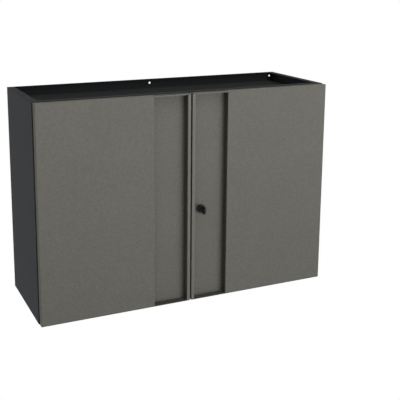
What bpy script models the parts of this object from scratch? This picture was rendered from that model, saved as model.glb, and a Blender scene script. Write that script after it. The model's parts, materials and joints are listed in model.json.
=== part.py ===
"""Wall-hung two-door steel cabinet, built from the folded sheets and fittings it is made of.

Lengths are metres and +Z is up. The doors face -Y, the wall is at +Y and +X is to the right.
The origin is the middle of the bottom of the box round the whole object, key included.
"""
import math

import bmesh
import bpy
from mathutils import Vector

MM = 0.001

# Overall size
WIDTH = 800 * MM
HEIGHT = 550 * MM
DEPTH = 280 * MM            # from the wall to the front of the doors

# Sheet metal
SHEET = 1.0 * MM
INSIDE_BEND = 0.5 * MM
FIT = 0.3 * MM              # gap between pieces that touch
BEND_STEPS = 3
ROUND_STEPS = 24
SMOOTH_ANGLE = math.radians(35)

# Carcass
FLANGE = 18.5 * MM          # in-turned edges of the side panels
TRAY = 25 * MM              # depth of the top tray, and of the hollow under the floor
TUCK = 15 * MM              # rear edges of the top and bottom panels
HANG_HOLE = 6 * MM
HANG_DROP = 11 * MM         # hanging holes below the top edge
HANG_INSET = 12 * MM        # outer hanging holes from the sides

# Shelf, its rails and clips
RAIL_WIDTH = 20 * MM
RAIL_DEPTH = 8 * MM
RAIL_FOOT = 6 * MM
RAIL_FRONT = 62 * MM        # middle of the front rails behind the carcass front
RAIL_REAR = 40 * MM         # middle of the rear rails before the wall
SLOT_WIDTH = 13 * MM
SLOT_HEIGHT = 4 * MM
SLOT_PITCH = 40 * MM
SLOT_COUNT = 11
SHELF_SLOT = 5              # the slot that the shelf hangs in, counted from the bottom
CLIP_SHEET = 1.5 * MM
CLIP_WIDTH = 12 * MM
CLIP_TONGUE = 14 * MM
CLIP_TAIL = 9 * MM
SHELF_FLANGE = 18 * MM
SHELF_SETBACK = 36 * MM     # shelf front behind the carcass front
SHELF_PLAY = 1 * MM

# Doors
DOOR_DEPTH = 18 * MM
DOOR_BACK_GAP = 2 * MM      # between a door and the carcass
DOOR_END_GAP = 1 * MM       # above and below a door
DOOR_SIDE_GAP = 2 * MM      # a door's outer edge in from the carcass's side
MEETING_GAP = 3.4 * MM
MEETING_STRIP = 9 * MM
GRIP_WIDTH = 91 * MM        # the grip recess beside the meeting strip
DOOR_RETURN = 15 * MM       # edge turned in along the hinge side
CAP_LIP = 3.5 * MM          # lip of the top cap over the grip recess
STIFFENER_AT = 150 * MM     # middle of the stiffener from the door's outer edge
STIFFENER_WEB = 18 * MM
STIFFENER_FOOT = 12 * MM
STIFFENER_DEPTH = 14 * MM
STIFFENER_END = 20 * MM     # stiffener short of the door's ends

# Hinges
AXIS_IN = 7 * MM            # hinge axis from the door's outer edge
AXIS_BACK = 8 * MM          # hinge axis behind the door's front
HINGE_END = 75 * MM         # hinge middle from the door's ends
HINGE_HEIGHT = 40 * MM
HINGE_SHEET = 2 * MM
HINGE_REACH = 18 * MM       # from the axis to the arm's bend, past the carcass flange
NOTCH_PLAY = 2 * MM         # round the arm, in the door's turned edge
EYE_RADIUS = 3.2 * MM
PIN_RADIUS = 1.5 * MM
PIN_HEAD = 2.6 * MM
PIN_HEAD_HEIGHT = 1.2 * MM
YOKE_SHEET = 1.5 * MM
YOKE_WIDTH = 18 * MM
YOKE_BACK = 4.5 * MM        # yoke ears behind the axis
RIVET_IN = 7 * MM           # rivets from the hinge axis
RIVET_END = 8 * MM          # rivets from the bracket's ends
RIVET_RADIUS = 1.5 * MM
RIVET_HEAD = 2.3 * MM
RIVET_HEAD_HEIGHT = 0.9 * MM
RIVET_RIM = 0.3 * MM        # straight edge of a rivet's head
RIVET_TAIL_HEIGHT = 1.2 * MM

# Lock in the right door's grip recess, measured backwards from the recess's face
LOCK_X = 35 * MM
LOCK_Z = 242 * MM
BEZEL_RADIUS = 11 * MM
BEZEL_HEIGHT = 4 * MM
BEZEL_CHAMFER = 1 * MM
BARREL_RADIUS = 8 * MM
BARREL_LENGTH = 17 * MM
NUT_RADIUS = 12.5 * MM
NUT_HEIGHT = 4 * MM
PLUG_RADIUS = 5.5 * MM
PLUG_HEAD = 7 * MM
PLUG_HEAD_HEIGHT = 2 * MM
TAIL_RADIUS = 4 * MM
TAIL_FLAT = 3 * MM          # flats of the tail from its middle
CAM_HEIGHT = 2.5 * MM
CAM_HUB = 9 * MM
CAM_TIP = 6 * MM
CAM_LENGTH = 46 * MM        # from the lock's axis to the end of the cam
SCREW_RADIUS = 2 * MM
SCREW_LENGTH = 4 * MM
SCREW_HEAD = 5 * MM
SCREW_HEAD_HEIGHT = 2 * MM

# Key
KEY_SHANK = 4 * MM          # bare blade between the bow and the lock
KEY_IN = 17 * MM
KEY_HEIGHT = 7 * MM
KEY_THICKNESS = 2 * MM
KEY_BITE = 1.6 * MM
KEY_BITES = 3
KEY_TANG = 8 * MM           # blade held in the bow
BOW_LENGTH = 20 * MM
BOW_HEIGHT = 20 * MM
BOW_THICKNESS = 4 * MM
BOW_CORNER = 7 * MM
BOW_HOLE = 2.5 * MM
BOW_HOLE_IN = 5.5 * MM      # ring hole from the end of the bow

# Keeper and hand bolt on the left door
KEEPER_SHEET = 2 * MM
KEEPER_HEIGHT = 50 * MM
KEEPER_FOOT = 22 * MM
KEEPER_TONGUE = 24 * MM
KEEPER_EDGE = 4 * MM        # end of the tongue from the cabinet's middle
KEEPER_CLEAR = 1.8 * MM     # between the tongue and the cam
BOLT_X = 60 * MM
BOLT_BACK = 10 * MM         # bolt axis behind the door
BOLT_RADIUS = 3 * MM
BOLT_TRAVEL = 12 * MM
BOLT_CLEAR = 2 * MM         # end of the drawn bolt under the top panel
BOLT_PLAY = 2 * MM          # round the bolt in the top panel
BOLT_TAIL = 12 * MM         # bolt below its knob's seat
BOLT_BEVEL = 1 * MM
KNOB_RADIUS = 6 * MM
KNOB_HEIGHT = 9 * MM
GUIDE_SHEET = 1.5 * MM
GUIDE_WIDTH = 16 * MM
GUIDE_DEPTH = 16 * MM

# Door buffers
BUFFER_X = 60 * MM
BUFFER_RADIUS = 5 * MM
BUFFER_CROWN = 3 * MM       # radius of the flat that the door meets

# Levels and planes worked out from the sizes above
DOOR_MIDDLE = WIDTH / 2 - DOOR_SIDE_GAP     # from a door's outer edge to the cabinet's middle
DOOR_WIDTH = DOOR_MIDDLE - MEETING_GAP / 2
GRIP_START = DOOR_WIDTH - MEETING_STRIP - GRIP_WIDTH
GRIP_END = DOOR_WIDTH - MEETING_STRIP
DOOR_LOW = DOOR_END_GAP
DOOR_HIGH = HEIGHT - DOOR_END_GAP
AXIS_X = DOOR_MIDDLE - AXIS_IN
HINGE_LEVELS = {"lower": DOOR_LOW + HINGE_END, "upper": DOOR_HIGH - HINGE_END}
RIVET_LEVELS = (RIVET_END - HINGE_HEIGHT / 2, HINGE_HEIGHT / 2 - RIVET_END)    # from the hinge middle
BEZEL_FRONT = -FIT - BEZEL_HEIGHT
KEY_FRONT = BEZEL_FRONT - KEY_SHANK - BOW_LENGTH
KEY_PROUD = max(0.0, -KEY_FRONT - (DOOR_DEPTH - SHEET))
Y_WALL = (DEPTH + KEY_PROUD) / 2
Y_DOOR = Y_WALL - DEPTH
Y_CARCASS = Y_DOOR + DOOR_DEPTH + DOOR_BACK_GAP
Y_PANEL_REAR = Y_WALL - SHEET - FIT
WALL_INSIDE = WIDTH / 2 - SHEET
TRAY_LEVEL = HEIGHT - TRAY
CAM_START = BARREL_LENGTH + 2 * FIT
CAM_END = CAM_START + CAM_HEIGHT
HANDS = {"left": -1, "right": 1}


def clear_scene():
    for obj in list(bpy.data.objects):
        bpy.data.objects.remove(obj)


# Materials

def linear(level):
    """Scene-linear value of one colour level from 0 to 255."""
    share = level / 255
    return share / 12.92 if share <= 0.04045 else ((share + 0.055) / 1.055) ** 2.4


def finish(name, colour, roughness, metallic=0.0):
    material = bpy.data.materials.new(name)
    material.use_nodes = True
    shader = material.node_tree.nodes["Principled BSDF"]
    shader.inputs["Base Color"].default_value = [linear(level) for level in colour] + [1.0]
    shader.inputs["Roughness"].default_value = roughness
    shader.inputs["Metallic"].default_value = metallic
    return material


def make_finishes():
    return {
        "carcass": finish("carcass_paint", (60, 62, 64), 0.45),
        "tray": finish("tray_paint", (44, 45, 46), 0.35),
        "door": finish("door_paint", (107, 106, 100), 0.55),
        "zinc": finish("zinc_plate", (176, 178, 176), 0.35, 1.0),
        "steel": finish("bright_steel", (190, 190, 188), 0.25, 1.0),
        "black": finish("black_lock", (24, 24, 25), 0.4),
        "rubber": finish("buffer_rubber", (28, 28, 28), 0.85),
    }


# Objects

def new_object(name, bm, material=None, parent=None, location=(0, 0, 0)):
    mesh = bpy.data.meshes.new(name)
    bm.to_mesh(mesh)
    bm.free()
    mesh.shade_smooth()
    mesh.set_sharp_from_angle(angle=SMOOTH_ANGLE)
    if material:
        mesh.materials.append(material)
    obj = bpy.data.objects.new(name, mesh)
    bpy.context.scene.collection.objects.link(obj)
    obj.parent = parent
    obj.location = location
    return obj


def new_axis(name, location, parent=None):
    """An empty on a joint's axis, which carries the pieces that move about it."""
    axis = bpy.data.objects.new(name, None)
    bpy.context.scene.collection.objects.link(axis)
    axis.parent = parent
    axis.location = location
    return axis


def combine(obj, tool, operation="DIFFERENCE"):
    """Take the tool's shape out of obj, or join it on, and keep the tool as a hidden guide."""
    guide = new_object(f"{obj.name}_guide", tool, parent=obj)
    guide.hide_render = True
    guide.display_type = "WIRE"
    modifier = obj.modifiers.new(operation.lower(), "BOOLEAN")
    modifier.operation = operation
    modifier.solver = "EXACT"
    modifier.object = guide


# Shapes: each adds one closed body to a mesh

def face_out(bm, faces):
    """Turn the faces of a closed body outwards."""
    for face in faces:
        face.normal_update()
    bmesh.ops.recalc_face_normals(bm, faces=faces)
    return bm


def add_block(bm, low, high):
    """A box between two corners, given in any order."""
    verts = bmesh.ops.create_cube(bm, size=1)["verts"]
    low, high = Vector(low), Vector(high)
    for vert in verts:
        vert.co = (low + high) / 2 + vert.co * (high - low)
    return face_out(bm, list({face for vert in verts for face in vert.link_faces}))


def bent_line(path, radius):
    """Points along a 2-D path with an arc at each corner, each with its left-hand normal."""
    path = [Vector(point) for point in path]
    steps = [(end - start).normalized() for start, end in zip(path, path[1:])]
    normals = [Vector((-step.y, step.x)) for step in steps]
    line = [(path[0], normals[0])]
    for corner, before, after, normal in zip(path[1:], steps, steps[1:], normals):
        turn = math.atan2(before.cross(after), before.dot(after))
        side = math.copysign(1, turn)
        start = corner - before * radius * math.tan(abs(turn) / 2)
        centre = start + normal * side * radius
        for step in range(BEND_STEPS + 1):
            angle = turn * step / BEND_STEPS
            turned = Vector((normal.x * math.cos(angle) - normal.y * math.sin(angle),
                             normal.x * math.sin(angle) + normal.y * math.cos(angle)))
            line.append((centre - turned * side * radius, turned))
    line.append((path[-1], normals[-1]))
    return line


def add_sheet(bm, path, span, place, thickness=SHEET):
    """A strip of sheet folded along path, its middle line, and running across span.

    place turns a point of the path and a distance along the span into x, y and z.
    """
    sections = []
    for point, normal in bent_line(path, INSIDE_BEND + thickness / 2):
        edges = (point + normal * thickness / 2, point - normal * thickness / 2)
        corners = ((edges[0], span[0]), (edges[1], span[0]), (edges[1], span[1]), (edges[0], span[1]))
        sections.append([bm.verts.new(place(edge.x, edge.y, along)) for edge, along in corners])
    faces = [bm.faces.new(sections[0]), bm.faces.new(sections[-1])]
    for first, second in zip(sections, sections[1:]):
        for near, far in ((0, 1), (1, 2), (2, 3), (3, 0)):
            faces.append(bm.faces.new((first[near], first[far], second[far], second[near])))
    return face_out(bm, faces)


def add_plate(bm, outline, span, place):
    """A flat plate with a closed 2-D outline and the thickness of span."""
    layers = [[bm.verts.new(place(x, y, across)) for x, y in outline] for across in span]
    faces = [bm.faces.new(layer) for layer in layers]
    for index in range(len(outline)):
        corners = [layer[end] for layer, end in ((layers[0], index - 1), (layers[0], index),
                                                 (layers[1], index), (layers[1], index - 1))]
        faces.append(bm.faces.new(corners))
    return face_out(bm, faces)


def add_turned(bm, profile, place, steps=ROUND_STEPS):
    """A turned piece. profile holds (radius, height) pairs and is closed unless it ends on the axis."""
    angles = [2 * math.pi * step / steps for step in range(steps)]
    rings = []
    for radius, height in profile:
        if radius == 0:
            rings.append([bm.verts.new(place(0, 0, height))] * steps)
            continue
        rings.append([bm.verts.new(place(radius * math.cos(angle), radius * math.sin(angle), height))
                      for angle in angles])
    pairs = list(zip(rings, rings[1:]))
    if profile[0][0] > 0:
        pairs.append((rings[-1], rings[0]))
    faces = []
    for first, second in pairs:
        for step in range(steps):
            corners = (first[step - 1], first[step], second[step], second[step - 1])
            faces.append(bm.faces.new(list(dict.fromkeys(corners))))
    return face_out(bm, faces)


def add_rod(bm, radius, span, place, steps=ROUND_STEPS):
    profile = ((0, span[0]), (radius, span[0]), (radius, span[1]), (0, span[1]))
    return add_turned(bm, profile, place, steps)


def rounded_rectangle(low, high, radius, steps=BEND_STEPS):
    outline = []
    corners = ((high[0], high[1], 0), (low[0], high[1], 1), (low[0], low[1], 2), (high[0], low[1], 3))
    for x, y, quarter in corners:
        centre_x = x + math.copysign(radius, (low[0] + high[0]) / 2 - x)
        centre_y = y + math.copysign(radius, (low[1] + high[1]) / 2 - y)
        for step in range(steps + 1):
            angle = math.pi / 2 * (quarter + step / steps)
            outline.append((centre_x + radius * math.cos(angle), centre_y + radius * math.sin(angle)))
    return outline


def pan_object(name, low, high, open_axis, open_sign, material):
    """A sheet with its four edges folded up: a thin-walled box without the side at open_sign."""
    bm = add_block(bmesh.new(), low, high)
    open_faces = [face for face in bm.faces if face.normal[open_axis] * open_sign > 0.5]
    bmesh.ops.delete(bm, geom=open_faces, context="FACES_ONLY")
    folds = [edge for edge in bm.edges if len(edge.link_faces) == 2]
    bmesh.ops.bevel(bm, geom=folds, offset=INSIDE_BEND + SHEET, segments=BEND_STEPS, profile=0.5,
                    affect="EDGES")
    obj = new_object(name, bm, material)
    shell = obj.modifiers.new("sheet", "SOLIDIFY")
    shell.thickness = SHEET
    shell.offset = -1
    shell.use_even_offset = True
    return obj


# Ways to place a shape: where its own three directions run

def along_x(y, z, x):
    return x, y, z


def along_y(x, z, y):
    return x, y, z


def along_z(x, y, z):
    return x, y, z


def offset(place, first, second):
    """The same placing, moved along its first two directions."""
    return lambda a, b, c: place(a + first, b + second, c)


# Carcass

def make_side_panel(side, hand, finishes):
    outer = hand * WIDTH / 2
    inner = hand * (WIDTH / 2 - FLANGE)
    panel = pan_object(f"{side}_side_panel", (min(outer, inner), Y_CARCASS, 0),
                       (max(outer, inner), Y_PANEL_REAR, HEIGHT), 0, -hand, finishes["carcass"])
    tool = bmesh.new()
    rivet_x = hand * (AXIS_X - RIVET_IN)
    through = (Y_CARCASS - SHEET, Y_CARCASS + 2 * SHEET)
    for level in HINGE_LEVELS.values():
        for rivet_z in RIVET_LEVELS:
            add_rod(tool, RIVET_RADIUS + FIT, through, offset(along_y, rivet_x, level + rivet_z))
    add_hanging_hole(tool, hand * (WIDTH / 2 - HANG_INSET))
    combine(panel, tool)


def add_hanging_hole(tool, x):
    through = (Y_PANEL_REAR - 2 * SHEET, Y_WALL + SHEET)
    add_rod(tool, HANG_HOLE / 2, through, offset(along_y, x, HEIGHT - HANG_DROP))


def make_back_panel(finishes):
    outline = [(-WIDTH / 2, 0), (WIDTH / 2, 0), (WIDTH / 2, HEIGHT), (-WIDTH / 2, HEIGHT)]
    bm = add_plate(bmesh.new(), outline, (Y_WALL - SHEET, Y_WALL), along_y)
    panel = new_object("back_panel", bm, finishes["carcass"])
    tool = bmesh.new()
    for x in (HANG_INSET - WIDTH / 2, 0, WIDTH / 2 - HANG_INSET):
        add_hanging_hole(tool, x)
    combine(panel, tool)


def make_floor_panel(name, level, finish_name, finishes, bolt_hole=False):
    """The top tray, or the same sheet turned over as the floor; level turns heights over."""
    front = Y_CARCASS + SHEET / 2
    rear = Y_PANEL_REAR - SHEET / 2
    face = TRAY_LEVEL - SHEET / 2
    path = ((front, level(HEIGHT)), (front, level(face)), (rear, level(face)), (rear, level(face - TUCK)))
    reach = WALL_INSIDE - FIT
    bm = add_sheet(bmesh.new(), path, (-reach, reach), along_x)
    panel = new_object(name, bm, finishes[finish_name])
    tool = bmesh.new()
    corner = WIDTH / 2 - FLANGE - FIT
    for hand in HANDS.values():
        for near, far in ((Y_CARCASS - SHEET, Y_CARCASS + SHEET + FIT),
                          (Y_PANEL_REAR - SHEET - FIT, Y_WALL)):
            add_block(tool, (hand * corner, near, -HEIGHT), (hand * WIDTH, far, 2 * HEIGHT))
    if bolt_hole:
        place = offset(along_z, -BOLT_X, Y_DOOR + DOOR_DEPTH + BOLT_BACK)
        add_rod(tool, BOLT_RADIUS + BOLT_PLAY, (face - SHEET, face + SHEET), place)
    combine(panel, tool)


# Shelf

def slot_level(index):
    return HEIGHT / 2 + (index - (SLOT_COUNT - 1) / 2) * SLOT_PITCH


def clip_level():
    """Middle of the clips' tongues, which lie on the lower edges of their slots."""
    return slot_level(SHELF_SLOT) - SLOT_HEIGHT / 2 + FIT + CLIP_SHEET / 2


def inward_from(hand):
    """Placing by depth and distance from a side wall's inner face, at a height."""
    return lambda y, inward, z: (hand * (WALL_INSIDE - inward), y, z)


def make_rail(name, hand, middle, finishes):
    foot = FIT + SHEET / 2
    web = RAIL_DEPTH - SHEET / 2
    half = (RAIL_WIDTH - SHEET) / 2
    path = [(middle - half - RAIL_FOOT, foot), (middle - half, foot), (middle - half, web),
            (middle + half, web), (middle + half, foot), (middle + half + RAIL_FOOT, foot)]
    floor = TRAY + SHEET + FIT
    ceiling = TRAY_LEVEL - SHEET - FIT
    bm = add_sheet(bmesh.new(), path, (floor, ceiling), inward_from(hand))
    rail = new_object(name, bm, finishes["carcass"])
    tool = bmesh.new()
    for index in range(SLOT_COUNT):
        level = slot_level(index)
        add_block(tool, inward_from(hand)(middle - SLOT_WIDTH / 2, RAIL_DEPTH - 2 * SHEET,
                                          level - SLOT_HEIGHT / 2),
                  inward_from(hand)(middle + SLOT_WIDTH / 2, RAIL_DEPTH + SHEET,
                                    level + SLOT_HEIGHT / 2))
    combine(rail, tool)


def make_clip(name, hand, middle, finishes):
    tail = RAIL_DEPTH - SHEET - FIT - CLIP_SHEET / 2
    level = clip_level()
    path = ((tail, level + CLIP_TAIL), (tail, level), (RAIL_DEPTH + CLIP_TONGUE, level))
    span = (middle - CLIP_WIDTH / 2, middle + CLIP_WIDTH / 2)
    place = inward_from(hand)
    bm = add_sheet(bmesh.new(), path, span, lambda inward, z, y: place(y, inward, z), CLIP_SHEET)
    new_object(name, bm, finishes["zinc"])


def make_shelf(finishes):
    for end, middle in (("front", Y_CARCASS + RAIL_FRONT), ("rear", Y_WALL - RAIL_REAR)):
        for side, hand in HANDS.items():
            make_rail(f"shelf_rail_{side}_{end}", hand, middle, finishes)
            make_clip(f"shelf_clip_{side}_{end}", hand, middle, finishes)
    low = clip_level() + CLIP_SHEET / 2 + FIT
    half = WALL_INSIDE - RAIL_DEPTH - SHELF_PLAY
    pan_object("shelf", (-half, Y_CARCASS + SHELF_SETBACK, low),
               (half, Y_PANEL_REAR - SHEET - SHELF_PLAY, low + SHELF_FLANGE), 2, -1, finishes["carcass"])


# Doors: u runs from a door's outer edge to its meeting edge, v from its front to its back

def door_place(hand):
    return lambda u, v, z: (-hand * (u - AXIS_IN), v - AXIS_BACK, z)


def make_door_skin(side, hand, axis, finishes):
    half = SHEET / 2
    front, back = half, DOOR_DEPTH - half
    path = ((DOOR_RETURN, back), (half, back), (half, front), (GRIP_START - half, front),
            (GRIP_START - half, back), (GRIP_END + half, back), (GRIP_END + half, front),
            (DOOR_WIDTH - half, front), (DOOR_WIDTH - half, DOOR_DEPTH))
    span = (DOOR_LOW + SHEET + FIT, DOOR_HIGH - SHEET - FIT)
    place = door_place(hand)
    bm = add_sheet(bmesh.new(), path, span, place)
    skin = new_object(f"{side}_door_skin", bm, finishes["door"], axis)
    tool = bmesh.new()
    reach = HINGE_HEIGHT / 2 + NOTCH_PLAY
    for level in HINGE_LEVELS.values():
        add_block(tool, place(SHEET + INSIDE_BEND, DOOR_DEPTH - 2 * SHEET, level - reach),
                  place(DOOR_RETURN + SHEET, DOOR_DEPTH + SHEET, level + reach))
    if side == "right":
        centre = place(DOOR_MIDDLE - LOCK_X, DOOR_DEPTH, LOCK_Z)
        add_rod(tool, BARREL_RADIUS + FIT, (centre[1] - 2 * SHEET, centre[1] + SHEET),
                offset(along_y, centre[0], centre[2]))
    combine(skin, tool)


def make_door_caps(side, hand, axis, finishes):
    place = door_place(hand)
    outline = rounded_rectangle((0, 0), (DOOR_WIDTH, DOOR_DEPTH), INSIDE_BEND + SHEET)
    bm = add_plate(bmesh.new(), outline, (DOOR_LOW, DOOR_LOW + SHEET), place)
    new_object(f"{side}_door_bottom_cap", bm, finishes["door"], axis)
    bm = add_plate(bmesh.new(), outline, (DOOR_HIGH - SHEET, DOOR_HIGH), place)
    cap = new_object(f"{side}_door_top_cap", bm, finishes["door"], axis)
    lip = add_block(bmesh.new(), place(GRIP_START + FIT, 0, DOOR_HIGH - CAP_LIP),
                    place(GRIP_END - FIT, SHEET, DOOR_HIGH - SHEET / 2))
    combine(cap, lip, "UNION")


def make_stiffener(side, hand, axis, finishes):
    foot = SHEET + FIT + SHEET / 2
    web = SHEET + FIT + STIFFENER_DEPTH - SHEET / 2
    half = (STIFFENER_WEB - SHEET) / 2
    path = ((STIFFENER_AT - half - STIFFENER_FOOT, foot), (STIFFENER_AT - half, foot),
            (STIFFENER_AT - half, web), (STIFFENER_AT + half, web),
            (STIFFENER_AT + half, foot), (STIFFENER_AT + half + STIFFENER_FOOT, foot))
    bm = add_sheet(bmesh.new(), path, (DOOR_LOW + STIFFENER_END, DOOR_HIGH - STIFFENER_END),
                   door_place(hand))
    new_object(f"{side}_door_stiffener", bm, finishes["door"], axis)


# Hinges: x and y run from the hinge axis, with x towards the cabinet's middle

def hinge_place(hand):
    return lambda x, y, z: (-hand * x, y, z)


def make_hinge_bracket(name, hand, location, finishes):
    """The carcass side: an eye round the pin, an arm past the flange, and a plate behind it."""
    wrap = Y_CARCASS + SHEET + FIT + HINGE_SHEET / 2 - location[1]
    end = AXIS_X - WALL_INSIDE + RIVET_HEAD
    path = ((0, 0), (HINGE_REACH, 0), (HINGE_REACH, wrap), (end, wrap))
    place = hinge_place(hand)
    half = HINGE_HEIGHT / 2
    bm = add_sheet(bmesh.new(), path, (-half, half), place, HINGE_SHEET)
    bracket = new_object(name, bm, finishes["zinc"], location=location)
    combine(bracket, add_rod(bmesh.new(), EYE_RADIUS, (-half, half), place), "UNION")
    tool = add_rod(bmesh.new(), PIN_RADIUS + FIT, (-HINGE_HEIGHT, HINGE_HEIGHT), place)
    for rivet_z in RIVET_LEVELS:
        add_rod(tool, RIVET_RADIUS + FIT, (wrap - HINGE_SHEET, wrap + HINGE_SHEET),
                offset(along_y, -hand * RIVET_IN, rivet_z))
    combine(bracket, tool)


def make_hinge_yoke(name, hand, location, axis, finishes):
    """The door side: a channel on the back of the door's face, with an ear above and below the eye."""
    base = SHEET + FIT + YOKE_SHEET / 2 - AXIS_BACK
    ear = (HINGE_HEIGHT + YOKE_SHEET) / 2 + FIT
    path = ((YOKE_BACK, -ear), (base, -ear), (base, ear), (YOKE_BACK, ear))
    start = SHEET + INSIDE_BEND + FIT - AXIS_IN
    place = hinge_place(hand)
    bm = add_sheet(bmesh.new(), path, (start, start + YOKE_WIDTH), lambda y, z, x: place(x, y, z), YOKE_SHEET)
    yoke = new_object(name, bm, finishes["zinc"], axis, location)
    combine(yoke, add_rod(bmesh.new(), PIN_RADIUS + FIT, (-HINGE_HEIGHT, HINGE_HEIGHT), place))


def make_hinge_pin(name, location, axis, finishes):
    top = HINGE_HEIGHT / 2 + 2 * FIT + YOKE_SHEET
    profile = ((0, -top - FIT), (PIN_RADIUS, -top - FIT), (PIN_RADIUS, top), (PIN_HEAD, top),
               (PIN_HEAD, top + PIN_HEAD_HEIGHT / 2), (PIN_RADIUS, top + PIN_HEAD_HEIGHT),
               (0, top + PIN_HEAD_HEIGHT))
    new_object(name, add_turned(bmesh.new(), profile, along_z, ROUND_STEPS // 2), finishes["steel"], axis,
               location)


def make_rivet(name, location, finishes):
    """A rivet from the front of the flange to the back of the bracket; its origin is the flange's face."""
    back = SHEET + HINGE_SHEET + 2 * FIT
    profile = ((0, -FIT - RIVET_HEAD_HEIGHT), (RIVET_RADIUS, -FIT - RIVET_HEAD_HEIGHT),
               (RIVET_HEAD, -FIT - RIVET_RIM), (RIVET_HEAD, -FIT), (RIVET_RADIUS, -FIT),
               (RIVET_RADIUS, back), (RIVET_HEAD, back), (RIVET_RADIUS, back + RIVET_TAIL_HEIGHT),
               (0, back + RIVET_TAIL_HEIGHT))
    new_object(name, add_turned(bmesh.new(), profile, along_y, ROUND_STEPS // 2), finishes["steel"],
               location=location)


def make_hinges(side, hand, axis, finishes):
    axis_x, axis_y = axis.location[:2]
    for end, level in HINGE_LEVELS.items():
        name = f"{side}_{end}_hinge"
        make_hinge_bracket(f"{name}_bracket", hand, (axis_x, axis_y, level), finishes)
        make_hinge_yoke(f"{name}_yoke", hand, (0, 0, level), axis, finishes)
        make_hinge_pin(f"{name}_pin", (0, 0, level), axis, finishes)
        for number, rivet_z in enumerate(RIVET_LEVELS, start=1):
            location = (axis_x - hand * RIVET_IN, Y_CARCASS, level + rivet_z)
            make_rivet(f"{name}_rivet_{number}", location, finishes)


def make_door(side, hand, finishes):
    axis = new_axis(f"{side}_door_axis", (hand * AXIS_X, Y_DOOR + AXIS_BACK, 0))
    make_door_skin(side, hand, axis, finishes)
    make_door_caps(side, hand, axis, finishes)
    make_stiffener(side, hand, axis, finishes)
    make_hinges(side, hand, axis, finishes)
    return axis


# Lock: pieces turn about y, which runs backwards from the face of the grip recess

def make_lock_housing(axis, finishes):
    bore = PLUG_RADIUS + FIT
    counterbore = PLUG_HEAD + FIT
    seat = BEZEL_FRONT + PLUG_HEAD_HEIGHT + FIT
    profile = ((bore, seat), (counterbore, seat), (counterbore, BEZEL_FRONT),
               (BEZEL_RADIUS - BEZEL_CHAMFER, BEZEL_FRONT), (BEZEL_RADIUS, BEZEL_FRONT + BEZEL_CHAMFER),
               (BEZEL_RADIUS, -FIT), (BARREL_RADIUS, -FIT), (BARREL_RADIUS, BARREL_LENGTH),
               (bore, BARREL_LENGTH))
    new_object("lock_housing", add_turned(bmesh.new(), profile, along_y), finishes["black"], axis)


def make_lock_nut(axis, finishes):
    angles = [math.pi / 3 * corner for corner in range(6)]
    outline = [(NUT_RADIUS * math.cos(angle), NUT_RADIUS * math.sin(angle)) for angle in angles]
    start = SHEET + FIT
    nut = new_object("lock_nut", add_plate(bmesh.new(), outline, (start, start + NUT_HEIGHT), along_y),
                     finishes["zinc"], axis)
    combine(nut, add_rod(bmesh.new(), BARREL_RADIUS + FIT, (0, start + 2 * NUT_HEIGHT), along_y))


def make_lock_plug(axis, finishes):
    shoulder = BARREL_LENGTH + FIT
    hole = SCREW_RADIUS + FIT
    profile = ((0, BEZEL_FRONT), (PLUG_HEAD, BEZEL_FRONT), (PLUG_HEAD, BEZEL_FRONT + PLUG_HEAD_HEIGHT),
               (PLUG_RADIUS, BEZEL_FRONT + PLUG_HEAD_HEIGHT), (PLUG_RADIUS, shoulder),
               (TAIL_RADIUS, shoulder), (TAIL_RADIUS, CAM_END), (hole, CAM_END),
               (hole, CAM_END - SCREW_LENGTH), (0, CAM_END - SCREW_LENGTH))
    plug = new_object("lock_plug", add_turned(bmesh.new(), profile, along_y), finishes["black"], axis)
    half_slot = (KEY_THICKNESS / 2 + FIT, KEY_HEIGHT / 2 + FIT)
    tool = add_block(bmesh.new(), (-half_slot[0], BEZEL_FRONT - SHEET, -half_slot[1]),
                     (half_slot[0], BEZEL_FRONT + KEY_IN + FIT, half_slot[1]))
    for sign in (-1, 1):
        add_block(tool, (sign * TAIL_FLAT, shoulder, -TAIL_RADIUS - SHEET),
                  (sign * (TAIL_RADIUS + SHEET), CAM_END + SHEET, TAIL_RADIUS + SHEET))
    combine(plug, tool)


def make_lock_cam(axis, finishes):
    """A lever that points up when the lock is open, with a flat-sided hole on the plug's tail."""
    reach = CAM_LENGTH - CAM_TIP
    lean = math.asin((CAM_HUB - CAM_TIP) / reach)
    steps = ROUND_STEPS // 2
    outline = []
    for step in range(steps + 1):
        angle = lean + (math.pi - 2 * lean) * step / steps
        outline.append((CAM_TIP * math.cos(angle), reach + CAM_TIP * math.sin(angle)))
    for step in range(steps + 1):
        angle = math.pi - lean + (math.pi + 2 * lean) * step / steps
        outline.append((CAM_HUB * math.cos(angle), CAM_HUB * math.sin(angle)))
    cam = new_object("lock_cam", add_plate(bmesh.new(), outline, (CAM_START, CAM_END), along_y),
                     finishes["zinc"], axis)
    flat = TAIL_FLAT + FIT
    hole = []
    for step in range(ROUND_STEPS):
        angle = 2 * math.pi * (step + 0.5) / ROUND_STEPS
        x = (TAIL_RADIUS + FIT) * math.cos(angle)
        hole.append((max(-flat, min(flat, x)), (TAIL_RADIUS + FIT) * math.sin(angle)))
    combine(cam, add_plate(bmesh.new(), hole, (CAM_START - SHEET, CAM_END + SHEET), along_y))


def make_cam_screw(axis, finishes):
    seat = CAM_END + FIT
    profile = ((0, seat + FIT - SCREW_LENGTH), (SCREW_RADIUS, seat + FIT - SCREW_LENGTH),
               (SCREW_RADIUS, seat), (SCREW_HEAD, seat), (SCREW_HEAD, seat + SCREW_HEAD_HEIGHT / 2),
               (SCREW_RADIUS, seat + SCREW_HEAD_HEIGHT), (0, seat + SCREW_HEAD_HEIGHT))
    new_object("cam_screw", add_turned(bmesh.new(), profile, along_y), finishes["steel"], axis)


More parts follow.
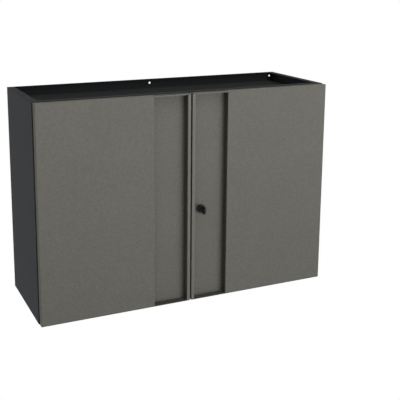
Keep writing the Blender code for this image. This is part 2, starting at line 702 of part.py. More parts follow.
def make_key(axis, finishes):
    """The blade with its bites, and the bow that holds its tang. y runs along the key."""
    bow_end = BEZEL_FRONT - KEY_SHANK
    tang_start = bow_end - KEY_TANG
    tip = BEZEL_FRONT + KEY_IN
    half = KEY_HEIGHT / 2
    outline = [(tang_start, half), (tang_start, -half)]
    pitch = KEY_IN / (KEY_BITES + 1)
    for bite in range(1, KEY_BITES + 1):
        middle = BEZEL_FRONT + bite * pitch
        outline += [(middle - KEY_BITE, -half), (middle, KEY_BITE - half), (middle + KEY_BITE, -half)]
    outline += [(tip - KEY_BITE, -half), (tip, KEY_BITE - half)]
    outline += [(tip, half - KEY_BITE), (tip - KEY_BITE, half)]
    blade_span = (-KEY_THICKNESS / 2, KEY_THICKNESS / 2)
    new_object("key_blade", add_plate(bmesh.new(), outline, blade_span, along_x), finishes["steel"], axis)

    low = (KEY_FRONT, -BOW_HEIGHT / 2)
    high = (bow_end, BOW_HEIGHT / 2)
    bow_span = (-BOW_THICKNESS / 2, BOW_THICKNESS / 2)
    bow_outline = rounded_rectangle(low, high, BOW_CORNER, 2 * BEND_STEPS)
    bm = add_plate(bmesh.new(), bow_outline, bow_span, along_x)
    bow = new_object("key_bow", bm, finishes["black"], axis)
    tool = add_block(bmesh.new(), (blade_span[0] - FIT, tang_start - FIT, -half - FIT),
                     (blade_span[1] + FIT, bow_end + SHEET, half + FIT))
    add_rod(tool, BOW_HOLE, (-BOW_THICKNESS, BOW_THICKNESS),
            offset(along_x, KEY_FRONT + BOW_HOLE_IN, 0))
    combine(bow, tool)


def make_lock(door_axis, finishes):
    face = door_place(1)(DOOR_MIDDLE - LOCK_X, DOOR_DEPTH - SHEET, LOCK_Z)
    housing_axis = new_axis("lock_axis", face, door_axis)
    make_lock_housing(housing_axis, finishes)
    make_lock_nut(housing_axis, finishes)
    turning_axis = new_axis("lock_turning_axis", (0, 0, 0), housing_axis)
    make_lock_plug(turning_axis, finishes)
    make_lock_cam(turning_axis, finishes)
    make_cam_screw(turning_axis, finishes)
    make_key(new_axis("key_axis", (0, 0, 0), turning_axis), finishes)


# Keeper and hand bolt on the back of the left door's grip recess

def make_keeper(door_axis, finishes):
    """A stepped plate whose tongue lies between the cam's path and the left door."""
    foot = DOOR_DEPTH + FIT + KEEPER_SHEET / 2
    tongue = DOOR_DEPTH - SHEET + CAM_START - KEEPER_CLEAR - KEEPER_SHEET / 2
    end = DOOR_MIDDLE - KEEPER_EDGE
    path = ((end - KEEPER_TONGUE - KEEPER_FOOT, foot), (end - KEEPER_TONGUE, foot),
            (end - KEEPER_TONGUE, tongue), (end, tongue))
    span = (LOCK_Z - KEEPER_HEIGHT / 2, LOCK_Z + KEEPER_HEIGHT / 2)
    bm = add_sheet(bmesh.new(), path, span, door_place(-1), KEEPER_SHEET)
    new_object("lock_keeper", bm, finishes["zinc"], door_axis)


def make_bolt(door_axis, finishes):
    """A round bolt with a finger knob, drawn down on its guide's lower ear."""
    top = TRAY_LEVEL - SHEET - BOLT_CLEAR
    upper_ear = top - GUIDE_SHEET
    knob_top = upper_ear - BOLT_TRAVEL - GUIDE_SHEET / 2 - FIT
    knob_low = knob_top - KNOB_HEIGHT
    lower_ear = knob_low - FIT - GUIDE_SHEET / 2
    base = DOOR_DEPTH + FIT + GUIDE_SHEET / 2
    path = ((DOOR_DEPTH + GUIDE_DEPTH, lower_ear), (base, lower_ear),
            (base, upper_ear), (DOOR_DEPTH + GUIDE_DEPTH, upper_ear))
    middle = DOOR_MIDDLE - BOLT_X
    place = door_place(-1)
    bm = add_sheet(bmesh.new(), path, (middle - GUIDE_WIDTH / 2, middle + GUIDE_WIDTH / 2),
                   lambda v, z, u: place(u, v, z), GUIDE_SHEET)
    guide = new_object("bolt_guide", bm, finishes["zinc"], door_axis)
    x, y, _ = place(middle, DOOR_DEPTH + BOLT_BACK, 0)
    combine(guide, add_rod(bmesh.new(), BOLT_RADIUS + FIT, (0, HEIGHT), offset(along_z, x, y)))

    tail = lower_ear - BOLT_TAIL
    profile = ((0, tail), (BOLT_RADIUS, tail), (BOLT_RADIUS, knob_low),
               (KNOB_RADIUS - BOLT_BEVEL, knob_low), (KNOB_RADIUS, knob_low + BOLT_BEVEL),
               (KNOB_RADIUS, knob_top - BOLT_BEVEL), (KNOB_RADIUS - BOLT_BEVEL, knob_top),
               (BOLT_RADIUS, knob_top), (BOLT_RADIUS, top - BOLT_BEVEL),
               (BOLT_RADIUS - BOLT_BEVEL, top), (0, top))
    bm = add_turned(bmesh.new(), profile, along_z)
    new_object("bolt_rod", bm, finishes["steel"], door_axis, (x, y, 0))


# Door buffers on the front edges of the top and bottom panels

def make_buffers(finishes):
    low = DOOR_BACK_GAP - FIT
    profile = ((0, -low), (BUFFER_CROWN, -low), (BUFFER_RADIUS, -low / 2), (BUFFER_RADIUS, -FIT),
               (0, -FIT))
    for end, level in (("lower", TRAY / 2), ("upper", HEIGHT - TRAY / 2)):
        for side, hand in HANDS.items():
            bm = add_turned(bmesh.new(), profile, along_y, ROUND_STEPS // 2)
            new_object(f"buffer_{side}_{end}", bm, finishes["rubber"],
                       location=(hand * BUFFER_X, Y_CARCASS, level))


def main():
    clear_scene()
    finishes = make_finishes()
    for side, hand in HANDS.items():
        make_side_panel(side, hand, finishes)
    make_back_panel(finishes)
    make_floor_panel("top_panel", lambda z: z, "tray", finishes, bolt_hole=True)
    make_floor_panel("bottom_panel", lambda z: HEIGHT - z, "carcass", finishes)
    make_shelf(finishes)
    axes = {side: make_door(side, hand, finishes) for side, hand in HANDS.items()}
    make_lock(axes["right"], finishes)
    make_keeper(axes["left"], finishes)
    make_bolt(axes["left"], finishes)
    make_buffers(finishes)


main()
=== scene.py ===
"""Finishes, light and camera for the two-door steel wall cabinet. Lengths are metres."""
import json
import math

import bmesh
import bpy
from mathutils import Matrix, Vector


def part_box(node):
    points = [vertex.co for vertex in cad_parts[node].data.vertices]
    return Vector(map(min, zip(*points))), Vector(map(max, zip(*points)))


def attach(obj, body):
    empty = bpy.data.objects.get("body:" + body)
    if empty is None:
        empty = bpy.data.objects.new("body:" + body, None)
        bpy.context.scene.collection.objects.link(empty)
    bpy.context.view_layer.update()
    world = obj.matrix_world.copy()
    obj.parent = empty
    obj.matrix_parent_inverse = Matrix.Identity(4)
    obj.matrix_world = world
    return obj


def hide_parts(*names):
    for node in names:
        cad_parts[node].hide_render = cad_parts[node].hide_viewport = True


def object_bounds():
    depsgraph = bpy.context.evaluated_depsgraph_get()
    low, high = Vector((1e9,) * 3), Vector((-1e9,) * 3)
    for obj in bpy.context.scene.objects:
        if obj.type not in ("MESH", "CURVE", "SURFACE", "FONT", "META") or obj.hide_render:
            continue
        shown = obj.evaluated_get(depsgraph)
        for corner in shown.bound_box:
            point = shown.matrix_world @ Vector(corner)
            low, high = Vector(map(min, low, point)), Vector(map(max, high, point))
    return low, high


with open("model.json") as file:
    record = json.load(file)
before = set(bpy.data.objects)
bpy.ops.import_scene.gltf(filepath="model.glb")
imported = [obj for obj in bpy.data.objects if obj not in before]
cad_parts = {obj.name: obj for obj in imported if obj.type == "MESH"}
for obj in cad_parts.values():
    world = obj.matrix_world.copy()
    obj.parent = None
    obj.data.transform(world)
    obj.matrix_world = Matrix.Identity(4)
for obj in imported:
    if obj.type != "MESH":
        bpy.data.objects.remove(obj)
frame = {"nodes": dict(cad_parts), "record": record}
CAD_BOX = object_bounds()
NODES = frame["nodes"]
MM = 0.001

# Camera, fitted to the corners of the cabinet in the photograph
IMAGE = 400                      # pixels across and down
CAMERA_AT = (-0.81645, -1.85827, 0.84981)
CAMERA_AZIMUTH = -24.065         # degrees; 0 looks along +Y
CAMERA_ELEVATION = 11.445
CAMERA_ROLL = 0.148
FOCAL_PIXELS = 776.69
CENTRE_PIXEL = (174.86, 127.04)  # where the optical axis meets the image
SENSOR = 36.0                    # width in millimetres

# Light and stage
AMBIENT = 0.08
FLOOR_DROP = 1.4                 # the cabinet hangs this far above the floor
FLOOR_HALF = 30.0
FLOOR_GREY = 0.8
SHADOW_REACH = 1.6               # how near the cabinet has to be to darken the floor
SHADOW_RAYS = 12
# Lamps: name, azimuth and elevation in degrees, distance, size, watts, place aimed at, spread in degrees
LAMPS = (
    ("key", 28, -10, 5.0, (5.2, 2.8), 114, (-0.2, 0.0, 2.0), 80),
    ("fill", -45, 0, 3.5, (1.2, 1.2), 1.5, (0.0, 0.0, 0.6), 150),
    ("side", -98, 0, 6.0, (1.6, 1.6), 42, (-0.4, 0.0, 0.8), 110),
    ("front", 5, 62, 3.0, (1.6, 1.2), 15, (0.0, 0.0, 0.2), 150),
    ("rear", 180, -12, 4.0, (0.7, 0.7), 34, (0.0, 0.0, 0.25), 100),
)

# Finishes: scales are cycles a metre, and tones are multiples of a material's own colour
WHOLE = (0.0, 1.0)
MIDDLE_NOISE = (0.35, 0.65)      # stretches of noise that are spread over a full range
WIDE_NOISE = (0.3, 0.7)
CLOUD_SCALE = 9
PEBBLE_FINER = 5                 # times finer than the speckle
PEBBLE_BUMP = (0.12 * MM, 0.35)  # height and strength, as in the other bumps
COAT_SHARES = (0.15, 0.6, 0.25)  # clouds, speckle and pebbles in the paint's tone
COAT_ROUGH = (-0.06, 0.06)       # about a material's own roughness, as in the other two
EDGE_TURN = (0.995, 0.85)        # cosine of the normal's turn: on a flat, and on a full edge
EDGE_RAYS = 6
CHIP_SCALE = 160                 # breaks up the edge wear, and on the paints the painted edge highlight too
CHIP_NOISE = (0.35, 0.7)
CHIP_SHARES = (0.2, 1.0)
WEAR_AND_HIGHLIGHT_REACH = 1.2 * MM             # how far the edge wear and painted edge highlight reach from an edge
WEAR_AND_HIGHLIGHT_TONE = 1.9
# tone of the painted shade, in the doors' recesses and on the wall behind the tray
PAINTED_SHADE_TONE = 0.1
RECESS_SHADE_REACH = 70 * MM            # how near a wall has to be for the painted shade in a recess to fall
RECESS_SHADE_RAYS = 8
RECESS_SHADE_SWING = (1.35, 0.65)       # more in the speckle's dark spots than in its pale ones
PLATE_SHARES = (0.6, 0.4)        # blotches and drawn lines in the metal's tone
PLATE_TONES = (0.82, 1.12)
PLATE_ROUGH = (-0.08, 0.1)
DRAWN_SCALE = 900                # lines left by drawing the metal
DRAWN_BUMP = (0.03 * MM, 0.3)
MOULD_GLOSS = 0.35
MOULD_TONES = (0.8, 1.25)
MOULD_ROUGH = (-0.08, 0.08)
GRAIN_BUMP = (0.06 * MM, 0.3)
SCUFF_REACH = 0.6 * MM
SCUFF_TONE = 4.0

# Places of painted highlight and painted shade in the frame's coordinates, each from where a mask starts to
# where it ends
STRIP_HIGHLIGHT = (9 * MM, 12 * MM)     # to each side: across the outer edge of a meeting strip
GRIP_EDGE = (100 * MM, 104 * MM)     # to each side: across the outer edge of a grip recess
TOP_HIGHLIGHT = (547.5 * MM, 549 * MM)  # height: up to the top edge of the doors
TRAY_WALL = (527 * MM, 548 * MM)     # height: from foot to top of the wall behind the tray
TRAY_WALL_Y = (141 * MM, 143 * MM)   # depth: just in front of that wall

# Facets
MERGE = 0.01 * MM
SMOOTH_ANGLE = math.radians(35)
FLAT_ANGLE = math.radians(0.5)
EDGE_ANGLE = math.radians(50)
EDGE_SEGMENTS = 2
EDGE_ROUND = 0.18 * MM           # raw edges of the sheets and fittings
BOW_ROUND = 0.75 * MM            # moulded edges of the key's bow
FLAT_WEIGHT = 100                # large faces decide the normals beside an eased edge
SLIVER = 0.02 * MM               # points closer than this, where two eased edges meet, become one

# Lip along the front of the tray
SHEET = 1 * MM
LIP_GAP = 0.3 * MM               # to the side panels' flanges
LIP_DROP = 0.05 * MM             # below the top of the wall that it is bent from
BEND_STEPS = 4

# Fine metalwork of the lock
BARREL_RADIUS = 8 * MM
THREAD_PITCH = 1.25 * MM
THREAD_HEIGHT = 0.35 * MM
THREAD_SUNK = 0.15 * MM          # foot of the thread inside the barrel
THREAD_STEPS = 36                # sections in a turn
THREAD_BARE = 0.5                # turns left bare at each end
THREAD_SECTION = ((0.0, -0.45), (1.0, -0.08), (1.0, 0.08), (0.0, 0.45))  # shares of height and pitch
SHANK_RADIUS = 2 * MM            # cam screw
HEAD_HEIGHT = 2 * MM
HEAD_RIM = 0.7 * MM              # straight edge of the domed head
ROUND_STEPS = 48
DOME_STEPS = 8
CROSS_REACH = 2.7 * MM           # arms of the driver recess, from the screw's middle
CROSS_HALF = 0.6 * MM
CROSS_DEPTH = 1.4 * MM
CROSS_TAPER = 0.55               # size of the recess's floor beside its mouth


# Small tools

def linear(colour):
    """Scene-linear colour from levels of 0 to 255."""
    shares = [level / 255 for level in colour]
    return [s / 12.92 if s <= 0.04045 else ((s + 0.055) / 1.055) ** 2.4 for s in shares]


def shade(colour, tone):
    return [*(level * tone for level in linear(colour)), 1.0]


def add(tree, kind, inputs=None, **settings):
    """A new node with its settings, and its inputs linked or set."""
    made = tree.nodes.new(kind)
    for name, value in settings.items():
        setattr(made, name, value)
    for socket, value in (inputs or {}).items():
        if isinstance(value, bpy.types.NodeSocket):
            tree.links.new(value, made.inputs[socket])
        else:
            made.inputs[socket].default_value = value
    return made


def toward(azimuth, elevation):
    """Unit vector from the object to a viewer or a lamp."""
    a, e = math.radians(azimuth), math.radians(elevation)
    return Vector((math.sin(a) * math.cos(e), -math.cos(a) * math.cos(e), math.sin(e)))


# Patterns shared by the materials

def noise(tree, scale, detail=2.0, roughness=0.5, stretch=None):
    """Noise from 0 to 1 in a piece's own frame, so that it moves with the piece."""
    place = add(tree, "ShaderNodeTexCoord").outputs["Object"]
    if stretch:
        place = add(tree, "ShaderNodeMapping", {"Vector": place, "Scale": stretch}).outputs["Vector"]
    texture = add(tree, "ShaderNodeTexNoise",
                  {"Vector": place, "Scale": scale, "Detail": detail, "Roughness": roughness})
    return texture.outputs["Fac"]


def remap(tree, value, span, to_span):
    """The value carried from one span to another, and held at the ends."""
    made = add(tree, "ShaderNodeMapRange", {"Value": value, "From Min": span[0], "From Max": span[1],
                                            "To Min": to_span[0], "To Max": to_span[1]})
    return made.outputs["Result"]


def maths(tree, operation, first, second):
    return add(tree, "ShaderNodeMath", {0: first, 1: second}, operation=operation).outputs[0]


def times(tree, first, second):
    return maths(tree, "MULTIPLY", first, second)


def mix_colour(tree, factor, first, second):
    made = add(tree, "ShaderNodeMix", {"Factor": factor, 6: first, 7: second}, data_type="RGBA")
    return made.outputs[2]


def edge_mask(tree, radius):
    """1 on edges and bends, 0 on flats, broken up by noise."""
    rounded = add(tree, "ShaderNodeBevel", {"Radius": radius}, samples=EDGE_RAYS).outputs["Normal"]
    flat = add(tree, "ShaderNodeNewGeometry").outputs["True Normal"]
    facing = add(tree, "ShaderNodeVectorMath", {0: rounded, 1: flat}, operation="DOT_PRODUCT")
    edge = remap(tree, facing.outputs["Value"], EDGE_TURN, WHOLE)
    return times(tree, edge, remap(tree, noise(tree, CHIP_SCALE, detail=3), CHIP_NOISE, CHIP_SHARES))


def axes(tree):
    """X, Y and Z in the cabinet's own frame, doors shut."""
    place = add(tree, "ShaderNodeTexCoord").outputs["Object"]
    return add(tree, "ShaderNodeSeparateXYZ", {0: place}).outputs


def painted_highlight_mask(tree, strips, tops):
    """Painted highlight on the meeting strips, and on the doors' top edges beside the grip recesses."""
    place = axes(tree)
    aside = maths(tree, "ABSOLUTE", place["X"], 0.0)
    strip = remap(tree, aside, STRIP_HIGHLIGHT, (strips, 0.0))
    top = times(tree, remap(tree, place["Z"], TOP_HIGHLIGHT, (0.0, tops)),
                remap(tree, aside, GRIP_EDGE, WHOLE))
    return maths(tree, "MAXIMUM", strip, top)


def tray_wall_shade_mask(tree):
    """Painted shade on the wall behind the tray, darker towards its top: 0 at its foot, 1 at its top."""
    place = axes(tree)
    return times(tree, remap(tree, place["Z"], TRAY_WALL, WHOLE),
                 remap(tree, place["Y"], TRAY_WALL_Y, WHOLE))


def recess_shade_mask(tree, spots, recess_shade):
    """Painted shade in the recesses, where walls are near, at most about the given share."""
    walls = add(tree, "ShaderNodeAmbientOcclusion", {"Distance": RECESS_SHADE_REACH}, samples=RECESS_SHADE_RAYS)
    return times(tree, remap(tree, walls.outputs["AO"], WHOLE, (recess_shade, 0.0)),
                 remap(tree, spots, MIDDLE_NOISE, RECESS_SHADE_SWING))


def new_material(name, **settings):
    """A material and its shader, with the values that are the same all over."""
    material = bpy.data.materials.new(name)
    material.use_nodes = True
    shader = material.node_tree.nodes["Principled BSDF"]
    for socket, value in settings.items():
        shader.inputs[socket.replace("_", " ")].default_value = value
    return material, material.node_tree, shader


def link_roughness(tree, shader, pattern, rough, swing):
    """Roughness that follows a pattern, from the low end of the swing to the high one."""
    spread = [rough + part for part in swing]
    tree.links.new(remap(tree, pattern, WIDE_NOISE, spread), shader.inputs["Roughness"])


def link_bump(tree, shader, pattern, bump):
    height, strength = bump
    made = add(tree, "ShaderNodeBump", {"Height": pattern, "Distance": height, "Strength": strength})
    tree.links.new(made.outputs["Normal"], shader.inputs["Normal"])


# Materials

def powder_coat(name, colour, rough, speckle, spread, worn, gloss, recess_shade=0.0, painted_highlights=None, tray_wall_shade=0.0):
    """Baked paint: speckled colour, a fine pebbled skin, edges pale with wear and painted highlight,
    painted highlight on the meeting strips and top edges, and painted shade in the recesses and behind the
    tray.
    """
    material, tree, shader = new_material(name, Specular_IOR_Level=gloss)
    clouds = noise(tree, CLOUD_SCALE)
    spots = noise(tree, speckle, detail=1, roughness=0.4)
    pebbles = noise(tree, PEBBLE_FINER * speckle, roughness=0.55)
    parts = [times(tree, part, share) for part, share in zip((clouds, spots, pebbles), COAT_SHARES)]
    tone = maths(tree, "ADD", maths(tree, "ADD", parts[0], parts[1]), parts[2])
    tone = remap(tree, tone, MIDDLE_NOISE, WHOLE)
    base = mix_colour(tree, tone, shade(colour, 1 - spread), shade(colour, 1 + spread))
    # edges lightened, partly as wear and partly as painted highlight
    wear_and_highlight = times(tree, edge_mask(tree, WEAR_AND_HIGHLIGHT_REACH), worn)
    # painted highlight on the meeting strips and along the doors' top edges
    if painted_highlights:
        wear_and_highlight = maths(tree, "MAXIMUM", wear_and_highlight, painted_highlight_mask(tree, *painted_highlights))
    base = mix_colour(tree, wear_and_highlight, base, shade(colour, WEAR_AND_HIGHLIGHT_TONE))
    # painted shade: the doors' recesses darkened where their walls are near
    if recess_shade:
        base = mix_colour(tree, recess_shade_mask(tree, spots, recess_shade), base, shade(colour, PAINTED_SHADE_TONE))
    # painted shade: the wall behind the tray darker towards its top
    if tray_wall_shade:
        base = mix_colour(tree, times(tree, tray_wall_shade_mask(tree), tray_wall_shade), base, shade(colour, PAINTED_SHADE_TONE))
    tree.links.new(base, shader.inputs["Base Color"])
    link_roughness(tree, shader, spots, rough, COAT_ROUGH)
    link_bump(tree, shader, pebbles, PEBBLE_BUMP)
    return material


def plated_metal(name, colour, rough, blotch, stretch):
    """Zinc or bare steel: faint blotches and drawn lines."""
    material, tree, shader = new_material(name, Metallic=1.0)
    patches = noise(tree, blotch, detail=3, roughness=0.6)
    drawn = noise(tree, DRAWN_SCALE, detail=3, roughness=0.6, stretch=stretch)
    parts = [times(tree, part, share) for part, share in zip((patches, drawn), PLATE_SHARES)]
    tone = maths(tree, "ADD", *parts)
    dull, bright = (shade(colour, part) for part in PLATE_TONES)
    base = mix_colour(tree, remap(tree, tone, WIDE_NOISE, WHOLE), dull, bright)
    tree.links.new(base, shader.inputs["Base Color"])
    link_roughness(tree, shader, tone, rough, PLATE_ROUGH)
    link_bump(tree, shader, drawn, DRAWN_BUMP)
    return material


def moulded(name, colour, rough, grain, worn):
    """Black lock parts and rubber: a grained skin with scuffed edges."""
    material, tree, shader = new_material(name, Specular_IOR_Level=MOULD_GLOSS)
    skin = noise(tree, grain, detail=3, roughness=0.6)
    dark, pale = (shade(colour, part) for part in MOULD_TONES)
    base = mix_colour(tree, remap(tree, skin, WIDE_NOISE, WHOLE), dark, pale)
    scuff = times(tree, edge_mask(tree, SCUFF_REACH), worn)
    tree.links.new(mix_colour(tree, scuff, base, shade(colour, SCUFF_TONE)), shader.inputs["Base Color"])
    link_roughness(tree, shader, skin, rough, MOULD_ROUGH)
    link_bump(tree, shader, skin, GRAIN_BUMP)
    return material


def make_materials():
    """Every finish, under the name of its slot in the record."""
    recipes = {
        # the carcass paint carries painted shade on the wall behind the tray
        "carcass_paint": (powder_coat, dict(colour=(68, 70, 72), rough=0.75, speckle=260, spread=0.05,
                                            worn=0.15, gloss=0.03, tray_wall_shade=0.45)),
        # the tray's paint is set darker than the carcass's, partly as painted shade of the sunken tray
        "tray_paint": (powder_coat, dict(colour=(56, 57, 57), rough=0.85, speckle=260, spread=0.05,
                                         worn=0.10, gloss=0.02)),
        # the door paint's pale edges carry painted highlight as well as wear
        "door_paint": (powder_coat, dict(colour=(107, 106, 100), rough=0.80, speckle=220, spread=0.09,
                                         worn=0.45, gloss=0.12, recess_shade=0.4, painted_highlights=(0.16, 0.85))),
        "zinc_plate": (plated_metal, dict(colour=(176, 179, 180), rough=0.38, blotch=60,
                                          stretch=(1.0, 1.0, 0.15))),
        "bright_steel": (plated_metal, dict(colour=(192, 191, 188), rough=0.26, blotch=90,
                                            stretch=(1.0, 0.12, 1.0))),
        "black_lock": (moulded, dict(colour=(24, 24, 25), rough=0.42, grain=700, worn=0.35)),
        "buffer_rubber": (moulded, dict(colour=(28, 28, 28), rough=0.80, grain=900, worn=0.10)),
    }
    return {name: make(name, **settings) for name, (make, settings) in recipes.items()}


def dress_nodes(materials):
    """Each solid gets the finish that its slot in the record names."""
    for part in frame["record"]["subparts"]:
        node = NODES[part["node"]]
        for slot in node.material_slots:
            slot.material = materials[part["material_slot"]]


# Facets: bends and rounds shade smooth, and raw edges are eased

def soften_group():
    """Geometry nodes that join the facets, smooth them and keep the corners sharp."""
    tree = bpy.data.node_groups.new("soften_facets", "GeometryNodeTree")
    tree.interface.new_socket("Geometry", in_out="INPUT", socket_type="NodeSocketGeometry")
    tree.interface.new_socket("Geometry", in_out="OUTPUT", socket_type="NodeSocketGeometry")
    entry = add(tree, "NodeGroupInput")
    bare = add(tree, "GeometryNodeRemoveAttribute", {"Geometry": entry.outputs[0], "Name": "custom_normal"})
    joined = add(tree, "GeometryNodeMergeByDistance", {"Geometry": bare.outputs[0], "Distance": MERGE})
    rounded = add(tree, "GeometryNodeSetShadeSmooth", {"Geometry": joined.outputs[0], "Shade Smooth": True})
    angle = add(tree, "GeometryNodeInputMeshEdgeAngle").outputs["Unsigned Angle"]
    sharp = maths(tree, "GREATER_THAN", angle, SMOOTH_ANGLE)
    kept = add(tree, "GeometryNodeSetShadeSmooth",
               {"Geometry": rounded.outputs[0], "Selection": sharp, "Shade Smooth": False}, domain="EDGE")
    add(tree, "NodeGroupOutput", {0: kept.outputs[0]})
    return tree


def soften_nodes():
    group = soften_group()
    for name, node in NODES.items():
        node.modifiers.new("soften", "NODES").node_group = group
        flat = node.modifiers.new("flat", "DECIMATE")
        flat.decimate_type = "DISSOLVE"
        flat.angle_limit = FLAT_ANGLE
        ease_edges(node, BOW_ROUND if name == "key_bow" else EDGE_ROUND)


def ease_edges(piece, width):
    ease = piece.modifiers.new("ease", "BEVEL")
    ease.width = width
    ease.segments = EDGE_SEGMENTS
    ease.limit_method = "ANGLE"
    ease.angle_limit = EDGE_ANGLE
    piece.modifiers.new("weld", "WELD").merge_threshold = SLIVER
    level = piece.modifiers.new("level", "WEIGHTED_NORMAL")
    level.weight = FLAT_WEIGHT
    level.keep_sharp = True


# Pieces that the solids leave out: the tray's lip and the fine metalwork of the lock

def lofted(rings):
    """A closed mesh through rings of points, with a face over each end."""
    bm = bmesh.new()
    loops = [[bm.verts.new(point) for point in ring] for ring in rings]
    for first, second in zip(loops, loops[1:]):
        for corner in range(len(first)):
            bm.faces.new((first[corner - 1], first[corner], second[corner], second[corner - 1]))
    for end in (loops[0], loops[-1]):
        bm.faces.new(end)
    bmesh.ops.recalc_face_normals(bm, faces=bm.faces[:])
    return bm


def new_object(name, bm, material):
    mesh = bpy.data.meshes.new(name)
    bm.to_mesh(mesh)
    bm.free()
    mesh.materials.append(material)
    made = bpy.data.objects.new(name, mesh)
    bpy.context.scene.collection.objects.link(made)
    return made


def smooth(piece):
    piece.data.shade_smooth()
    piece.data.set_sharp_from_angle(angle=SMOOTH_ANGLE)


def ring_point(axis, radius, angle, along):
    """A point round an axis that runs along y."""
    return axis.x + radius * math.cos(angle), along, axis.z + radius * math.sin(angle)


def make_tray_lip(materials):
    """The lip bent in from the tray's front wall, as wide as the side panels' flanges beside it."""
    low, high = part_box("top_panel")
    side_low, side_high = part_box("left_side_panel")
    end = side_high.x + LIP_GAP
    wall = low.y + SHEET
    rear = low.y + side_high.x - side_low.x
    top = high.z - LIP_DROP
    under = top - SHEET
    section = [(wall - SHEET / 2, top), (rear, top), (rear, under)]
    for step in range(BEND_STEPS + 1):
        turn = math.pi / 2 * step / BEND_STEPS
        section.append((wall + SHEET * (1 - math.sin(turn)), under - SHEET * (1 - math.cos(turn))))
    section.append((wall - SHEET / 2, under - SHEET))
    rings = [[(x, y, z) for y, z in section] for x in (end, -end)]
    lip = new_object("tray_front_lip", lofted(rings), materials["carcass_paint"])
    smooth(lip)
    ease_edges(lip, EDGE_ROUND)
    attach(lip, "carcass")


def make_barrel_thread(materials):
    """A fine thread wound round the lock's barrel behind its nut, running out at both ends."""
    low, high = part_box("lock_housing")
    axis = (low + high) / 2
    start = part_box("lock_nut")[1].y + THREAD_BARE * THREAD_PITCH
    turns = (high.y - start) / THREAD_PITCH - THREAD_BARE
    steps = int(turns * THREAD_STEPS)
    foot = BARREL_RADIUS - THREAD_SUNK
    rings = []
    for step in range(steps + 1):
        angle = 2 * math.pi * step / THREAD_STEPS
        along = start + THREAD_PITCH * step / THREAD_STEPS
        rise = min(1.0, (step + 1) / THREAD_STEPS, (steps + 1 - step) / THREAD_STEPS)
        height = (THREAD_SUNK + THREAD_HEIGHT) * rise
        rings.append([ring_point(axis, foot + height * up, angle, along + THREAD_PITCH * aside)
                      for up, aside in THREAD_SECTION])
    thread = new_object("lock_barrel_thread", lofted(rings), materials["black_lock"])
    smooth(thread)
    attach(thread, "right_door")


def make_cam_screw(materials):
    """The screw that holds the cam: a domed head with a cross recess for the driver."""
    low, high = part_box("cam_screw")
    axis = (low + high) / 2
    head = (high.x - low.x) / 2
    seat = high.y - HEAD_HEIGHT
    rim, dome = seat + HEAD_RIM, HEAD_HEIGHT - HEAD_RIM
    profile = [(SHANK_RADIUS, low.y), (SHANK_RADIUS, seat), (head, seat)]
    for step in range(DOME_STEPS):
        turn = math.pi / 2 * step / DOME_STEPS
        profile.append((head * math.cos(turn), rim + dome * math.sin(turn)))
    angles = [2 * math.pi * step / ROUND_STEPS for step in range(ROUND_STEPS)]
    rings = [[ring_point(axis, radius, angle, along) for angle in angles] for radius, along in profile]
    screw = new_object("cam_screw_driven", lofted(rings), materials["bright_steel"])
    cut_cross(screw, axis, high.y)
    smooth(screw)
    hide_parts("cam_screw")
    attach(screw, "lock_cylinder")


def cut_cross(screw, axis, top):
    """Sinks a tapered cross into the head of a screw along y."""
    arm = ((CROSS_HALF, CROSS_HALF), (CROSS_HALF, CROSS_REACH), (-CROSS_HALF, CROSS_REACH))
    outline = []
    for quarter in range(4):
        turn = Matrix.Rotation(quarter * math.pi / 2, 2)
        outline += [turn @ Vector(corner) for corner in arm]
    rings = [[(axis.x + size * x, along, axis.z + size * z) for x, z in outline]
             for size, along in ((1.0, top), (CROSS_TAPER, top - CROSS_DEPTH))]
    cutter = new_object("cross_cutter", lofted(rings), screw.active_material)
    cut = screw.modifiers.new("cross", "BOOLEAN")
    cut.operation, cut.solver, cut.object = "DIFFERENCE", "EXACT", cutter
    whole = screw.data
    shaped = screw.evaluated_get(bpy.context.evaluated_depsgraph_get())
    screw.data = bpy.data.meshes.new_from_object(shaped)
    screw.modifiers.clear()
    bpy.data.objects.remove(cutter)
    bpy.data.meshes.remove(whole)


# Stage, light and camera

def make_floor():
    """A plain pale floor that the camera sees as white, darkened only near the cabinet."""
    mesh = bpy.data.meshes.new("floor")
    sides = [(-1, -1), (1, -1), (1, 1), (-1, 1)]
    corners = [(x * FLOOR_HALF, y * FLOOR_HALF, -FLOOR_DROP) for x, y in sides]
    mesh.from_pydata(corners, [], [(0, 1, 2, 3)])
    floor = bpy.data.objects.new("floor", mesh)
    bpy.context.scene.collection.objects.link(floor)
    material = bpy.data.materials.new("floor")
    material.use_nodes = True
    tree = material.node_tree
    tree.nodes.clear()
    matt = add(tree, "ShaderNodeBsdfDiffuse", {"Color": (FLOOR_GREY, FLOOR_GREY, FLOOR_GREY, 1)})
    shadow = add(tree, "ShaderNodeAmbientOcclusion", {"Distance": SHADOW_REACH}, samples=SHADOW_RAYS)
    white = add(tree, "ShaderNodeEmission", {"Color": shadow.outputs["Color"], "Strength": 1.0})
    add(tree, "ShaderNodeOutputMaterial", {"Surface": white_where_seen(tree, matt, white)})
    mesh.materials.append(material)


def white_where_seen(tree, plain, white):
    """White for rays from the camera, a reflection or a clear piece, and plain for all other rays."""
    rays = add(tree, "ShaderNodeLightPath").outputs
    seen = maths(tree, "MAXIMUM", rays["Is Camera Ray"], rays["Is Glossy Ray"])
    seen = maths(tree, "MAXIMUM", seen, rays["Is Transmission Ray"])
    mixed = add(tree, "ShaderNodeMixShader", {0: seen, 1: plain.outputs[0], 2: white.outputs[0]})
    return mixed.outputs[0]


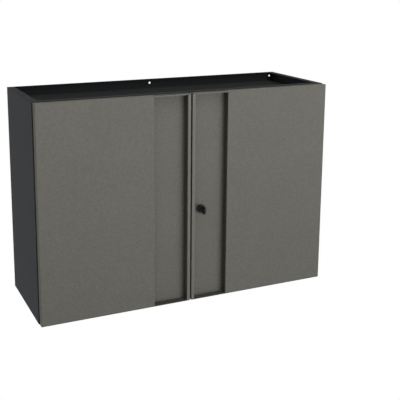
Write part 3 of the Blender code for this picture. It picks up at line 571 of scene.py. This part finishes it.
def make_world():
    world = bpy.data.worlds.new("studio")
    world.use_nodes = True
    tree = world.node_tree
    tree.nodes.clear()
    dim = add(tree, "ShaderNodeBackground", {"Color": (1, 1, 1, 1), "Strength": AMBIENT})
    white = add(tree, "ShaderNodeBackground", {"Color": (1, 1, 1, 1), "Strength": 1.0})
    add(tree, "ShaderNodeOutputWorld", {"Surface": white_where_seen(tree, dim, white)})
    bpy.context.scene.world = world


def make_lamp(name, azimuth, elevation, distance, size, watts, aim, spread):
    """A soft rectangular lamp, placed round the middle of the cabinet and pointed at aim."""
    middle = (CAD_BOX[0] + CAD_BOX[1]) / 2
    light = bpy.data.lights.new(name, "AREA")
    light.shape = "RECTANGLE"
    light.size, light.size_y = size
    light.energy = watts
    light.spread = math.radians(spread)
    lamp = bpy.data.objects.new(name, light)
    bpy.context.scene.collection.objects.link(lamp)
    lamp.location = middle + toward(azimuth, elevation) * distance
    lamp.rotation_mode = "QUATERNION"
    lamp.rotation_quaternion = (Vector(aim) - lamp.location).to_track_quat("-Z", "Y")
    lamp.visible_camera = False
    lamp.visible_glossy = False


def make_camera():
    data = bpy.data.cameras.new("camera")
    data.sensor_width = SENSOR
    data.lens = FOCAL_PIXELS * SENSOR / IMAGE
    data.shift_x = (IMAGE / 2 - CENTRE_PIXEL[0]) / IMAGE
    data.shift_y = (CENTRE_PIXEL[1] - IMAGE / 2) / IMAGE
    camera = bpy.data.objects.new("camera", data)
    bpy.context.scene.collection.objects.link(camera)
    facing = (-toward(CAMERA_AZIMUTH, CAMERA_ELEVATION)).to_track_quat("-Z", "Y").to_matrix()
    roll = Matrix.Rotation(math.radians(CAMERA_ROLL), 3, "Z")
    camera.location = CAMERA_AT
    camera.rotation_mode = "QUATERNION"
    camera.rotation_quaternion = (facing @ roll).to_quaternion()
    bpy.context.scene.camera = camera


bpy.context.scene.view_settings.view_transform = "Standard"
finishes = make_materials()
dress_nodes(finishes)
soften_nodes()
make_tray_lip(finishes)
make_barrel_thread(finishes)
make_cam_screw(finishes)
make_floor()
make_world()
for lamp_settings in LAMPS:
    make_lamp(*lamp_settings)
make_camera()
